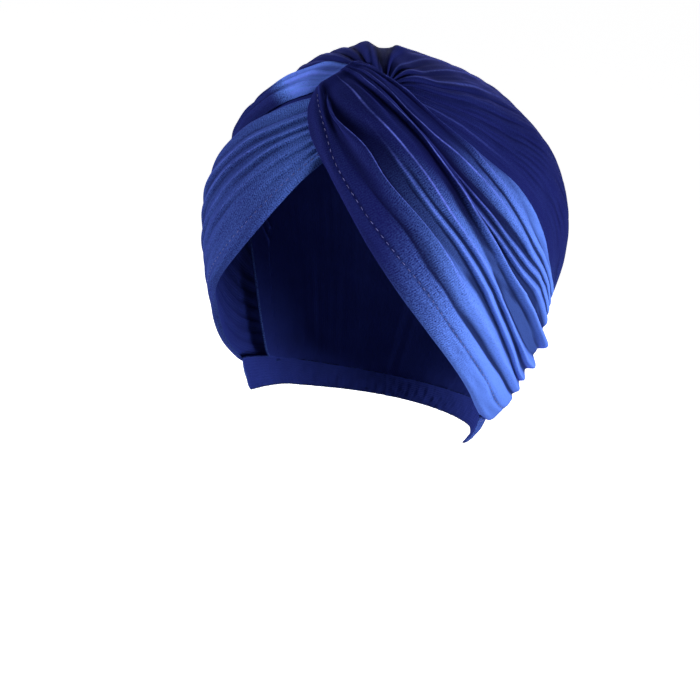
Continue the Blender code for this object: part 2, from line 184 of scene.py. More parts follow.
LEFT_PLEATS = (
    Pleat((0.14, 0.14, 0.15, 0.14, 0.155, 0.155, 0.15), (0, 0.3, 1.2, 1.6, 2, 2.4, 3),
          (0.13, 0.13), (0.035, 0.035, 0.035, 0.06), 0.3, 0),
    Pleat((0.34, 0.325, 0.292, 0.262, 0.24, 0.24, 0.24), (-2, 3.2, 3.7, 3.6, 3.8, 3.8, 3.6),
          (0.15, 0.15, 0.15, 0.1, 0.055, 0.06, 0.06), (0.04, 0.024, 0.024, 0.08, 0.11, 0.1, 0.09), 0.25, 0.7),
    Pleat((0.45, 0.445, 0.425, 0.415, 0.365, 0.352, 0.35), (0, 0, 1.8, 3, 3.6, 3.4, 3.2),
          (0.03, 0.03, 0.05), (0.05, 0.05, 0.06), -0.2, 0.8),
    Pleat((0.5, 0.487, 0.5, 0.485, 0.427, 0.43, 0.47), (0.9, 3, 3.8, 3.8, 4.2, 4.2, 4.2),
          (0.18, 0.11, 0.1, 0.045, 0.035, 0.04, 0.06), (0.17, 0.17, 0.16, 0.09, 0.04, 0.05, 0.08), -0.2, 1),
    Pleat((0.72, 0.715, 0.7, 0.635, 0.59, 0.635, 0.67), (1.2, 3, 3.6, 4, 5, 5.4, 5.4),
          (0.08, 0.05, 0.04, 0.05, 0.06, 0.07, 0.09), (0.1, 0.1, 0.08, 0.04, 0.035, 0.05, 0.08), -0.3, 1),
    Pleat((0.76, 0.74, 0.69, 0.663, 0.675, 0.755, 0.8), (0, 0, 0.6, 2.8, 3.8, 3, 1.6),
          (0.03, 0.03, 0.05), (0.035, 0.035, 0.05), -0.4, 0.8),
    Pleat((0.78, 0.76, 0.733, 0.718, 0.728, 0.8, 0.865), (0, 0, 0.8, 2.4, 3.6, 2.6, 1),
          (0.025, 0.025, 0.05), (0.022, 0.022, 0.05), -0.3, 0.8),
    Pleat((0.78, 0.83, 0.845, 0.82, 0.785, 0.85, 0.93), (0.6, 2.6, 3, 3.2, 3.6, 2.8, 1.4),
          (0.05, 0.06, 0.07, 0.06, 0.035, 0.04, 0.05), (0.14, 0.14, 0.12, 0.08, 0.05, 0.04, 0.05), -0.3, 0.8),
    Pleat((1.02, 1.01, 1, 0.91, 0.845, 0.91, 0.975), (0, 0.8, 1.8, 2.8, 3, 2, 1),
          (0.05, 0.05, 0.06, 0.05, 0.03, 0.04), (0.05, 0.05, 0.06, 0.09, 0.03, 0.05), -0.2, 0.5),
    Pleat((0.88, 0.965, 0.985, 1, 1, 1, 1), (1, 1.6, 1.2, 0, 0, 0, 0),
          (0.035, 0.035), (0.04, 0.04), 0, 1),
)

RIGHT_PLEATS = (
    Pleat((0.17, 0.22, 0.25, 0.25, 0.25, 0.24, 0.22), (1.3, 1.3, 0.8, 0.8, 1.2, 1.8, 2.2),
          (0.05, 0.05), (0.07, 0.07), -0.3, 0.2),
    Pleat((0.28, 0.33, 0.355, 0.36, 0.36, 0.35, 0.33), (1.4, 1.5, 1.2, 1, 1.2, 2, 2.4),
          (0.04, 0.04), (0.07, 0.07), -0.3, 0.3),
    Pleat((0.42, 0.445, 0.455, 0.46, 0.46, 0.45, 0.43), (1.7, 1.8, 1.5, 1.3, 1.6, 2.2, 2.4),
          (0.04, 0.04), (0.05, 0.05), -0.4, 0.4),
    Pleat((0.5, 0.525, 0.56, 0.57, 0.57, 0.56, 0.53), (1.9, 2.1, 1.8, 1.6, 1.8, 2.2, 2.4),
          (0.03, 0.035), (0.05, 0.05), -0.4, 0.4),
    Pleat((0.6, 0.62, 0.645, 0.67, 0.67, 0.66, 0.64), (2, 2.3, 2, 1.8, 1.8, 2.2, 2.4),
          (0.04, 0.04), (0.08, 0.07, 0.05), -0.4, 0.5),
    Pleat((0.84, 0.79, 0.735, 0.765, 0.77, 0.76, 0.74), (2.1, 2.8, 3, 2.6, 2.2, 2.4, 2.4),
          (0.14, 0.11, 0.06, 0.06), (0.035, 0.035), 0.3, 0.3),
    Pleat((0.95, 0.94, 0.87, 0.86, 0.87, 0.86, 0.85), (0.3, 0.4, 0.8, 1.6, 2, 2.2, 2.4),
          (0.04, 0.04), (0.05, 0.05), -0.2, 0.2),
    Pleat((0.98, 0.98, 0.96, 0.95, 0.95, 0.94, 0.94), (0.2, 0.3, 0.6, 1.2, 1.6, 2, 2.2),
          (0.03, 0.03), (0.05, 0.05), 0, 0.1),
)

STRAP_PLEATS = (
    Pleat((0.18, 0.16, 0.18, 0.2, 0.25), (0.2, 1, 1.4, 1.6, 1.4), (0.15, 0.15), (0.13, 0.13), 0, 0.4),
    Pleat((0.54, 0.48, 0.48, 0.5, 0.55), (1.2, 2.6, 3, 2.8, 2.2), (0.13, 0.13), (0.15, 0.15), -0.2, 0.3),
    Pleat((0.86, 0.82, 0.82, 0.82, 0.82), (1.2, 3, 3.2, 3, 2.2), (0.12, 0.12), (0.12, 0.12), 0, 0.3),
)

CROWN_PLEATS = 17
CROWN_PLEAT_DEPTH = 2.4
CROWN_CALM = 0.86
CROWN_PUFF = 0.0048
CROWN_LOOSE_LEFT = (0.06, 0.16)
CROWN_LOOSE_RIGHT = (0.82, 0.90)
LOBES = ((0.530, 3.5), (0.612, 3.6))
LOBE_WIDTH = 0.027
NOTCH = 0.562
NOTCH_WIDTH = 0.015
NOTCH_FLOOR = 0.0017

STITCH_INPUTS = (
    ("Geometry", "NodeSocketGeometry", None),
    ("Stitch length", "NodeSocketFloat", 0.0024),
    ("Pitch", "NodeSocketFloat", 0.0036),
    ("Thread width", "NodeSocketFloat", 0.0005),
    ("Seed", "NodeSocketInt", 1),
)
# How far each wrap stands off the head at even shares of its length, in millimetres
LEFT_LIFT = (0.0, 0.0, 0.6, 2.0, 3.4, 6.0, 6.5)
RIGHT_LIFT = (0.0, 1.2, 3.6, 4.6, 4.0, 7.5, 9.5)
LOW_FOLD_SHADE_DEPTH = 0.0017
LEFT_END_PUFF = 0.0012
# The share of a wrap's length over which its end rounds over to the seam
END_ROUND = 0.075
LOOP_RIM = 0.0016
# The painted shadow behind the left wrap's second ridge, in shares of its width
SHADOW_BEHIND = 0.034
SHADOW_WIDTH = 0.016
# The lowest that the rolled edge of the left wrap may lie over the right wrap
OVER_RIGHT = 0.0075
STRAP_TUCK = 0.0024
STRAP_STRANDS = 7
# How much lower the strap's upper edge lies, on the crown, than its lower edge, on the wrap
STRAP_FALL = 0.0034
BAND_FLARE = 0.0062
LEFT_STITCH_LINE = (0.085, 0.090, 0.100, 0.105, 0.100, 0.105, 0.10)
RIGHT_STITCH_LINE = (0.09, 0.09, 0.09, 0.09)
GROOVE_DEPTH = 0.0005
GROOVE_WIDTH = 0.0009
# Each row's stitch length, pitch and thread width
LEFT_SEWING = (0.0021, 0.0040, 0.00038)
RIGHT_SEWING = (0.0020, 0.0036, 0.00032)
BAND_SEWING = (0.0020, 0.0032, 0.00036)
# How high a stitch's middle lies over the cloth
STITCH_LIFT = 0.0001

# The velvet's colours: where its pile faces out, with painted shade; where it lies over, with painted light;
# the painted highlight on a ridge; and the painted shade in a crease
DEEP = (0.0045, 0.0050, 0.060, 1)
BRIGHT = (0.082, 0.168, 0.60, 1)
HIGHLIGHT_COLOUR = (0.13, 0.18, 0.80, 1)
CREASE_SHADE_COLOUR = (0.0012, 0.0014, 0.020, 1)
SHEEN = (0.11, 0.15, 1.0, 1)

# The sky, from the floor to part of the way up
SKY = ((0, (0.9, 0.9, 0.9, 1)), (0.55, (0.06, 0.06, 0.07, 1)))
FLOOR_REACH = 60
FLOOR_HEIGHT = -0.32
# The camera's bearing, height and roll in degrees, its distance and its aim past the head's middle
CAMERA_ANGLES = (24, 10, 8)
CAMERA_DISTANCE = 1.36
CAMERA_AIM = (0.0157, 0.0581)
CAMERA_LENS = 142.2


def outline_at(height):
    """Half width, front reach and back reach of the head at a height."""
    up = np.clip(height / DOME_HEIGHT, 0, 1)
    down = np.clip(-height / NAPE_DROP, 0, TAPER_LIMIT)
    dome = np.sqrt(np.clip(1 - up ** DOME_ROUNDNESS, 1e-9, 1))
    half = HALF_WIDTH * dome * (1 - SIDE_TAPER * down ** SIDE_TAPER_CURVE)
    front = FRONT_REACH * dome * (1 - FRONT_TAPER * down ** 2)
    back = BACK_REACH * dome * (1 - BACK_TAPER * down ** 2)
    return half, front, back


def is_outside(point):
    """Whether each point lies outside the head."""
    half, front, back = outline_at(point[..., 2])
    y = point[..., 1] - WIDEST_BACK
    reach = np.where(y < 0, front, back)
    beyond = (point[..., 0] / half) ** 2 + (y / reach) ** 2 > 1
    return beyond | (point[..., 2] >= DOME_HEIGHT)


def head_point(way):
    """Where a direction from the middle of the head meets its surface."""
    near = np.zeros(way.shape[:-1])
    far = np.full(way.shape[:-1], 2 * max(FRONT_REACH, BACK_REACH, HALF_WIDTH, DOME_HEIGHT, NAPE_DROP))
    for _ in range(HALVINGS):
        middle = (near + far) / 2
        outside = is_outside(CENTRE + way * middle[..., None])
        far = np.where(outside, middle, far)
        near = np.where(outside, near, middle)
    return CENTRE + way * near[..., None]


def unit(vectors):
    return vectors / np.linalg.norm(vectors, axis=-1, keepdims=True)


def head_normal(way):
    """The head's outward normal along a direction, from two small steps."""
    side = SLOPE_STEP * unit(np.cross(SLOPE_AXIS, way))
    over = np.cross(way, side)
    over = SLOPE_STEP * unit(over)
    along = head_point(unit(way + side)) - head_point(unit(way - side))
    across = head_point(unit(way + over)) - head_point(unit(way - over))
    return unit(np.cross(along, across))


def direction(degrees):
    """Unit vectors of (longitude, latitude) pairs; longitude 0 is the face."""
    lon, lat = np.radians(np.asarray(degrees, float)).T
    return np.stack([np.sin(lon) * np.cos(lat), -np.cos(lon) * np.cos(lat), np.sin(lat)], -1)


def through(places, values, wanted):
    """A smooth curve through the values, read at the wanted places."""
    places, values = np.asarray(places, float), np.asarray(values, float)
    chords = np.diff(values, axis=0) / np.diff(places).reshape((-1,) + (1,) * (values.ndim - 1))
    slopes = np.concatenate([chords[:1], (chords[1:] + chords[:-1]) / 2, chords[-1:]])
    index = np.clip(np.searchsorted(places, wanted, side="right") - 1, 0, len(places) - 2)
    span = places[index + 1] - places[index]
    share = (wanted - places[index]) / span
    shape = (-1,) + (1,) * (values.ndim - 1)
    t, span = share.reshape(shape), span.reshape(shape)
    return ((1 + 2 * t) * (1 - t) ** 2 * values[index] + t * (1 - t) ** 2 * span * slopes[index]
            + t * t * (3 - 2 * t) * values[index + 1] + t * t * (t - 1) * span * slopes[index + 1])


def even_path(degrees, shares):
    """Directions at even shares of the length of a path over the head."""
    corners = direction(degrees)
    knots = np.concatenate([[0], np.cumsum(np.linalg.norm(np.diff(corners, axis=0), axis=1))])
    fine = unit(through(knots, corners, np.linspace(0, knots[-1], PATH_STEPS)))
    length = np.concatenate([[0], np.cumsum(np.linalg.norm(np.diff(fine, axis=0), axis=1))])
    places = shares * length[-1]
    return unit(np.stack([np.interp(places, length, fine[:, axis]) for axis in range(3)], -1))


def fade(shares, start, end):
    """0 before start, 1 after end, and smooth between them."""
    t = np.clip((shares - start) / (end - start), 0, 1)
    return t * t * (3 - 2 * t)


def even(values, shares):
    """A smooth curve through values that lie at even shares."""
    return through(np.linspace(0, 1, len(values)), values, shares)


class Lay:
    """Fold lines spread over the head: places and heights at any share."""

    def __init__(self, folds, along, start=None):
        self.places = np.array([fold.across for fold in folds])
        paths = [even_path(fold.path if start is None else (start(fold.across),) + fold.path, along)
                 for fold in folds]
        self.paths = np.stack(paths, 1)
        self.rises = np.stack([even(fold.rise, along) for fold in folds], 1)

    def read(self, across):
        """Directions and rises at a table of shares across, one row for each share along."""
        ways, rises = [], []
        for row in range(across.shape[0]):
            ways.append(through(self.places, self.paths[row], across[row]))
            rises.append(through(self.places, self.rises[row], across[row]))
        return unit(np.array(ways)), np.array(rises)


def widths(lay, rows):
    """The width of a piece at each of its rows, in metres."""
    ways, _ = lay.read(np.broadcast_to(np.linspace(0, 1, WIDTH_STEPS), (rows, WIDTH_STEPS)))
    skin = head_point(ways)
    return np.linalg.norm(np.diff(skin, axis=1), axis=2).sum(axis=1)


def waves(along, across, seed, size, count=9):
    """Soft random unevenness, about -1 to 1; size is (shares along, shares across) of a wave."""
    rng = np.random.default_rng(seed)
    total = np.zeros((len(along), len(across)))
    for _ in range(count):
        turn_along = rng.normal(0, 1) / size[0]
        turn_across = rng.normal(0, 1) / size[1]
        phase = rng.uniform(0, 2 * np.pi)
        total += np.sin(2 * np.pi * (turn_along * along[:, None] + turn_across * across[None, :]) + phase)
    return total / np.sqrt(count)


def pleated(pleats, along, across, waver):
    """A table of pleats as a height and a sideways shift in metres, and the painted highlight along each
    ridge.
    """
    total = np.zeros((len(along), len(across)))
    shift = np.zeros_like(total)
    ridge_highlight = np.zeros_like(total)
    for number, pleat in enumerate(pleats):
        drift = waves(along, np.zeros(1), 100 + number, (0.35, 1.0), 4) * waver
        swell = 1 + 0.12 * waves(along, np.zeros(1), 200 + number, (0.25, 1.0), 4)
        ridge = even(pleat.ridge, along)[:, None] + drift
        depth = np.clip(even(pleat.depth, along), 0, None)[:, None] * swell
        gap = across[None, :] - ridge
        hem_side, rear_side = even(pleat.hem_side, along)[:, None], even(pleat.rear_side, along)[:, None]
        reach = np.where(gap < 0, hem_side, rear_side)
        bell = 0.5 + 0.5 * np.cos(np.pi * np.clip(gap / reach, -1, 1))
        weight = (depth * bell) ** CREASE
        total += weight
        shift += weight * depth * bell * pleat.lean
        patchy = np.clip(0.8 + 0.35 * waves(along, np.zeros(1), 300 + number, (0.12, 1.0), 5), 0.3, 1)
        patchy = patchy * (1 - 0.65 * fade(along, 0.4, 0.62))[:, None]
        # A painted sheen highlight along the ridge, where the pile also splays paler
        line = np.exp(-(gap / RIDGE_HIGHLIGHT_WIDTH) ** 2) * np.clip(depth / 3, 0, 1) * pleat.line * patchy
        ridge_highlight = np.maximum(ridge_highlight, line)
    shift = shift / np.maximum(total, 1e-9)
    return total ** (1 / CREASE) * MM, shift * MM, ridge_highlight


def smoothed(table, columns):
    """A table blurred across its columns."""
    reach = int(columns * 2.5)
    weights = np.exp(-0.5 * (np.arange(-reach, reach + 1) / columns) ** 2)
    padded = np.pad(table, ((0, 0), (reach, reach)), mode="edge")
    return sum(weight * padded[:, place:place + table.shape[1]]
               for place, weight in enumerate(weights / weights.sum()))


def shade_in_hollows(body):
    """How deep each place lies in a crease or between wide folds, 0 to 1, which sets how much shade is
    painted there.
    """
    narrow = np.clip((smoothed(body, 3) - body) / (0.35 * MM), 0, 1)
    wide = np.clip((smoothed(body, 12) - body) / (1.5 * MM), 0, 1)
    return np.maximum(narrow, wide)


def ring_shell(name, outer, inner, pile_and_light=None):
    """A closed wall of cloth with rounded rims, from its outer and inner faces.

    Its map gives metres along and across the cloth. Its colour attribute gives, at each
    point, how the pile lies with painted light and shade, how near a ridge is, for a painted
    highlight, and how near a crease is, for painted shade.
    """
    rows, columns = outer.shape[:2]
    turn = np.linspace(0, np.pi, RIM_STEPS + 2)[1:-1]

    def rim(first, second, beside):
        middle, half = (first + second) / 2, (first - second) / 2
        away = unit(middle - beside)
        thick = np.linalg.norm(half, axis=-1, keepdims=True)
        return [middle + half * np.cos(t) + away * thick * np.sin(t) for t in turn]

    rear = rim(outer[:, -1], inner[:, -1], (outer[:, -2] + inner[:, -2]) / 2)
    front = rim(inner[:, 0], outer[:, 0], (outer[:, 1] + inner[:, 1]) / 2)
    ring = np.concatenate([outer, np.stack(rear, 1), inner[:, ::-1], np.stack(front, 1)], 1)

    count = ring.shape[1]
    pairs = np.arange(count)
    # Each point of the ring faces its partner on the other side of the wall
    pairs[:columns] = columns + RIM_STEPS + np.arange(columns)[::-1]
    pairs[columns + RIM_STEPS:2 * columns + RIM_STEPS] = np.arange(columns)[::-1]
    side = np.arange(RIM_STEPS)
    pairs[columns:columns + RIM_STEPS] = columns + side[::-1]
    pairs[2 * columns + RIM_STEPS:] = 2 * columns + RIM_STEPS + side[::-1]

    def closing(last, before):
        middle, half = (last + last[pairs]) / 2, (last - last[pairs]) / 2
        before_middle = (before + before[pairs]) / 2
        away = unit(middle - before_middle)
        thick = np.linalg.norm(half, axis=-1, keepdims=True).max()
        steps = np.linspace(0, np.pi / 2, 4)[1:]
        return [middle + half * np.cos(t) + away * thick * np.sin(t) for t in steps]

    start = closing(ring[0], ring[1])[::-1]
    end = closing(ring[-1], ring[-2])
    points = np.concatenate([np.stack(start), ring, np.stack(end)], 0)
    total_rows = points.shape[0]
    step_along = np.linalg.norm(np.diff(points, axis=0), axis=2).mean(axis=1)
    step_across = np.linalg.norm(np.diff(points, axis=1), axis=2).mean(axis=0)
    u = np.concatenate([[0], np.cumsum(step_across)])
    v = np.concatenate([[0], np.cumsum(step_along)])
    mesh = bpy.data.meshes.new(name)
    index = np.arange(total_rows * count).reshape(total_rows, count)
    following = np.roll(index, -1, axis=1)
    quads = np.stack([index[:-1], following[:-1], following[1:], index[1:]], -1).reshape(-1, 4)
    mesh.from_pydata(points.reshape(-1, 3).tolist(), [], quads.tolist())
    uv = mesh.uv_layers.new(name="cloth")
    next_u = np.append(u[1:], u[-1] + step_across.mean())
    corner_u = np.stack(np.broadcast_arrays(u, next_u, next_u, u), -1)
    corner_u = np.broadcast_to(corner_u[None], (total_rows - 1, count, 4))
    corner_v = np.stack([v[:-1], v[:-1], v[1:], v[1:]], -1)
    corner_v = np.broadcast_to(corner_v[:, None], (total_rows - 1, count, 4))
    uv.data.foreach_set("uv", np.stack([corner_u, corner_v], -1).astype(np.float32).ravel())
    inside = np.zeros((total_rows - 1, count), dtype=np.int32)
    inside[:, columns + RIM_STEPS:2 * columns + RIM_STEPS - 1] = 1
    mesh.polygons.foreach_set("material_index", inside.ravel())
    if pile_and_light is None:
        pile_and_light = np.broadcast_to(np.array([0.5, 0.0, 0.0]), outer.shape)
    side_rear = np.repeat(pile_and_light[:, -1:], RIM_STEPS, axis=1)
    side_front = np.repeat(pile_and_light[:, :1], RIM_STEPS, axis=1)
    pile_and_light_ring = np.concatenate([pile_and_light, side_rear, pile_and_light[:, ::-1], side_front], 1)
    all_pile_and_light = np.concatenate([np.repeat(pile_and_light_ring[:1], len(start), axis=0), pile_and_light_ring,
                              np.repeat(pile_and_light_ring[-1:], len(end), axis=0)], 0)
    layer = mesh.color_attributes.new(name="pile_and_light", type="FLOAT_COLOR", domain="POINT")
    values = np.concatenate([all_pile_and_light.reshape(-1, 3), np.ones((total_rows * count, 1))], 1)
    layer.data.foreach_set("color", values.astype(np.float32).ravel())
    seal_ends(mesh)
    return mesh


def seal_ends(mesh):
    """Merges the two faces of each end, and turns all faces outwards."""
    work = bmesh.new()
    work.from_mesh(mesh)
    bmesh.ops.remove_doubles(work, verts=work.verts, dist=1e-6)
    bmesh.ops.recalc_face_normals(work, faces=work.faces)
    work.to_mesh(mesh)
    work.free()
    mesh.shade_smooth()


def wall(name, lay, along, across, height, shift=None, inside=None, pile_and_light=None):
    """The mesh of a piece whose outer face is at a height over the head."""
    table = np.broadcast_to(across, height.shape)
    placed = table if shift is None else table + shift
    ways, rises = lay.read(placed)
    skin, normal = head_point(ways), head_normal(ways)
    outer = skin + normal * (height + FULLNESS * rises)[..., None]
    low = height - VELVET if inside is None else inside
    under_ways, under_rises = lay.read(table)
    under = head_point(under_ways) + head_normal(under_ways) * (low + FULLNESS * under_rises)[..., None]
    return ring_shell(name, outer, under, pile_and_light), outer, normal


def new_object(name, data):
    thing = bpy.data.objects.new(name, data)
    bpy.context.scene.collection.objects.link(thing)
    return thing


def piece(name, mesh, outside, inside):
    mesh.materials.append(outside)
    mesh.materials.append(inside)
    return new_object(name, mesh)


def rolled(across_mm, radius):
    """1 inside the sheet, falling to 0 in a quarter round over its rim."""
    near = np.clip(across_mm / radius, 0, 1)
    return np.sqrt(np.clip(1 - (1 - near) ** 2, 0, 1))


def distances(along, across, width, length):
    """How far each point is from its piece's start, end and two long edges, in metres."""
    return (along[:, None] * length, (1 - along)[:, None] * length,
            across[None, :] * width[:, None], (1 - across)[None, :] * width[:, None])


def wrap_inside(height, body, lift):
    """The height of a wrap's inner face, which shows a share of its pleats."""
    return np.minimum(height - VELVET, WRAP_FLOOR - VELVET + INSIDE_SHARE * (body - WRAP_FLOOR) + lift)


def side_lift(along, most):
    """How far a wrap stands off the head over the temple and cheek, down to its end seam."""
    return even(most, along) * MM * rolled(1 - along, END_ROUND)


def groove(across, line, width):
    """The shallow channel that a row of stitches pulls into the cloth."""
    gap = (across[None, :] - line[:, None]) * width[:, None]
    return GROOVE_DEPTH * np.exp(-(gap / GROOVE_WIDTH) ** 2)


def grid(rows, columns):
    return np.linspace(0, 1, rows), np.linspace(0, 1, columns)


def make_wrap_left(velvet, backing):
    """The fan of pleats on the wearer's left, with its rolled edge at the twist."""
    along, across = grid(170, 230)
    lay = Lay(WRAP_LEFT, along)
    width = widths(lay, len(along))
    pleats, lean, ridge_highlight = pleated(LEFT_PLEATS, along, across, 0.004)
    grown = fade(along, -0.04, 0.1)[:, None] * (1 - 0.15 * fade(along, 0.9, 1.0))[:, None]
    uneven = waves(along, across, 11, (0.22, 0.1)) * 0.18 * MM
    body = WRAP_FLOOR + pleats * grown + uneven * fade(along, 0.02, 0.1)[:, None]
    body += LEFT_END_PUFF * fade(along, 0.8, 0.95)[:, None]
    from_start, from_end, from_hem, from_rear = distances(along, across, width, LEFT_LENGTH)
    body -= groove(across, even(LEFT_STITCH_LINE, along), width)
    edge = (np.maximum(from_hem, 1e-6) ** -3.0 + np.maximum(from_start, 1e-6) ** -3.0) ** (-1 / 3)
    body += LOOP_RIM * np.exp(-((edge - 0.004) / 0.0032) ** 2) * (1 - fade(along, 0.15, 0.4))[:, None]
    radius = 0.0026 + 0.003 * (1 - fade(along, 0.1, 0.3))[:, None]
    round_off = rolled(from_hem, radius) * rolled(from_rear, 0.0035) * rolled(from_start, 0.005)
    round_off = round_off * (0.2 + 0.8 * rolled(from_end, 0.018))
    _, rises = lay.read(np.broadcast_to(across, body.shape))
    over_right = OVER_RIGHT * (1 - fade(along, 0.17, 0.27))[:, None] - FULLNESS * rises
    low = np.minimum(np.maximum(UNDER_LAYER - EDGE_SINK, over_right), body - 0.0003)
    lift = side_lift(along, LEFT_LIFT)[:, None] * (1 - 0.9 * fade(across, 0.6, 0.92))[None, :]
    height = low + (body - low) * round_off + lift
    shift = lean * grown / width[:, None]
    inside = wrap_inside(height, body, lift)
    # How the pile lies, with painted shade over the top and painted light towards the lower end
    lie_and_light = fade(along[:, None] - 0.1 * np.cos(2.6 * np.pi * across)[None, :] * (across < 0.77), 0.3, 0.74)
    lie_and_light = 0.03 + 0.95 * lie_and_light
    # Painted shade where the pleats sink low between the ridges
    floor = 0.8 * np.clip(1 - pleats * grown / LOW_FOLD_SHADE_DEPTH, 0, 1) * fade(along, 0.12, 0.25)[:, None]
    floor = floor * (fade(across, 0.16, 0.19) * (1 - fade(across, 0.88, 0.94)))[None, :]
    # A painted shadow in the valley behind the second ridge
    behind = across[None, :] - even(LEFT_PLEATS[1].ridge, along)[:, None]
    shadow_behind_ridge = np.exp(-((behind - SHADOW_BEHIND) / SHADOW_WIDTH) ** 2)
    shadow_behind_ridge = shadow_behind_ridge * (fade(along, 0.14, 0.2) * (1 - fade(along, 0.46, 0.6)))[:, None]
    # The painted highlights on the ridges and the painted shade in the hollows
    pile_and_light = np.stack([lie_and_light, ridge_highlight * grown, np.maximum(np.maximum(shade_in_hollows(body), floor), shadow_behind_ridge)], -1)
    mesh, outer, normal = wall("wrap_left", lay, along, across, height, shift * round_off, inside, pile_and_light)
    seam = row_on(outer, normal, even(LEFT_STITCH_LINE, along), 0.05, 0.97)
    return piece("wrap_left_velvet", mesh, velvet, backing), [seam]


def make_wrap_right(velvet, backing):
    """The pleats on the wearer's right, whose start is tucked under the twist."""
    along, across = grid(160, 210)
    lay = Lay(WRAP_RIGHT, along)
    width = widths(lay, len(along))
    pleats, lean, ridge_highlight = pleated(RIGHT_PLEATS, along, across, 0.004)
    grown = fade(along, -0.05, 0.06)[:, None] * (1 - 0.35 * fade(along, 0.86, 1.0))[:, None]
    uneven = waves(along, across, 12, (0.22, 0.1)) * 0.16 * MM
    grooved = 0.6 * groove(across, even(RIGHT_STITCH_LINE, along), width)
    body = WRAP_FLOOR + pleats * grown + uneven - grooved
    _, from_end, from_hem, from_rear = distances(along, across, width, RIGHT_LENGTH)
    round_off = rolled(from_hem, 0.0026) * rolled(from_rear, 0.003)
    round_off = round_off * (0.25 + 0.75 * rolled(from_end, 0.012))
    low = UNDER_LAYER - EDGE_SINK
    lift = side_lift(along, RIGHT_LIFT)[:, None] * (1 - fade(across, 0.7, 0.98))[None, :]
    height = low + (body - low) * round_off + lift
    shift = lean * grown / width[:, None]
    inside = wrap_inside(height, body, lift)
    # How the pile lies, darker further along, with painted shade over the hollow folds beyond the sixth
    # pleat's ridge
    upper = across[None, :] - even(RIGHT_PLEATS[5].ridge, along)[:, None]
    lie_and_light = (0.42 - 0.25 * fade(along, 0.1, 0.3))[:, None] * (1 - 0.9 * fade(upper, 0.0, 0.05))
    # Painted shade in the hollows between the pleats
    pile_and_light = np.stack([lie_and_light, ridge_highlight * grown, 0.6 * shade_in_hollows(body + grooved)], -1)
    mesh, outer, normal = wall("wrap_right", lay, along, across, height, shift * round_off, inside, pile_and_light)
    seam = row_on(outer, normal, even(RIGHT_STITCH_LINE, along), 0.03, 0.97)
    return piece("wrap_right_velvet", mesh, velvet, backing), [seam]


def make_strap(velvet, backing):
    """The folds that leave the twist and cross to the wearer's right."""
    along, across = grid(130, 90)
    lay = Lay(STRAP, along)
    width = widths(lay, len(along))
    pleats, _, ridge_highlight = pleated(STRAP_PLEATS, along, across, 0.01)
    uneven = waves(along, across, 13, (0.25, 0.5)) * 0.15 * MM
    body = STRAP_LAYER + pleats * fade(along, -0.02, 0.1)[:, None] + uneven
    body -= STRAP_TUCK * (1 - fade(along, 0.01, 0.09))[:, None]
    from_start, from_end, from_low, from_top = distances(along, across, width, STRAP_LENGTH)
    round_off = rolled(from_low, 0.0025) * rolled(from_top, 0.004) * rolled(from_start, 0.0022)
    round_off = round_off * (0.3 + 0.7 * rolled(from_end, 0.004))
    low = np.minimum(TWIST_LAYER - CAD_WALL - EDGE_SINK - STRAP_FALL * across[None, :], body - 0.0015)
    height = low + (body - low) * round_off
    inside = height - VELVET - (1 - INSIDE_SHARE) * pleats
    # How the pile lies, with painted shade over the strap's start
    lie_and_light = 0.04 + 0.96 * (1 - fade(along[:, None] - 0.12 * across[None, :], 0.09, 0.19))
    # Painted highlights along the strands where the pile lies over
    strands = 0.5 + 0.5 * np.sin(2 * np.pi * (STRAP_STRANDS * across + 1.5 * np.sin(5 * across)))
    glint = (0.1 + 0.48 * strands ** 2)[None, :] * fade(lie_and_light, 0.6, 1.0)
    # Painted shade in the hollows
    pile_and_light = np.stack([lie_and_light, np.maximum(ridge_highlight, glint), 0.9 * shade_in_hollows(body)], -1)
    mesh, _, _ = wall("twist_strap", lay, along, across, height, None, inside, pile_and_light)
    return piece("twist_strap_velvet", mesh, velvet, backing)


